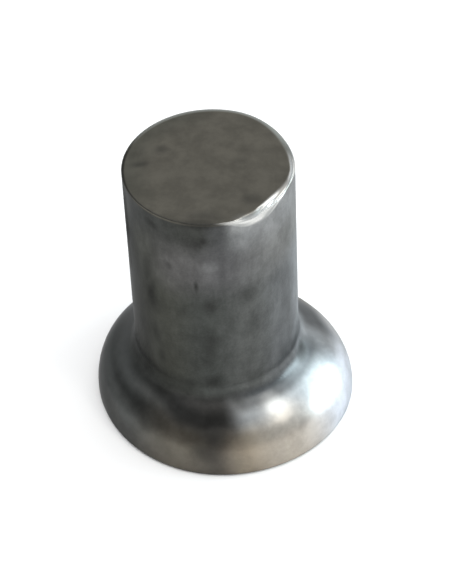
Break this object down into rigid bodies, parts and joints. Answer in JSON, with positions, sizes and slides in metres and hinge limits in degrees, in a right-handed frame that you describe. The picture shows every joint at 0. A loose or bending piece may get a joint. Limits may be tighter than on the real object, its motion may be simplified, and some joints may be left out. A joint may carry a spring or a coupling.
{
  "type": "rivet",
  "caption": "Solid steel rivet with a countersunk head, a rounded rim and a plain round shank; joins plates when its shank end is upset.",
  "frame": {"origin": "where the shank's axis meets the head's flat face, on which the rivet stands", "axes": "+Z along the axis from the head to the cut end of the shank; X and Y are free, and the worn front-right edge of the cut end faces +X and -Y"},
  "size_m": [0.0081, 0.0079, 0.0094],
  "materials": {
    "plain_steel": "bare low-carbon steel, smooth and half-glossy on the head, dull and smudged on the shank"
  },
  "bodies": {
    "root": {"rivet_body": "plain_steel"}
  },
  "joints": []
}
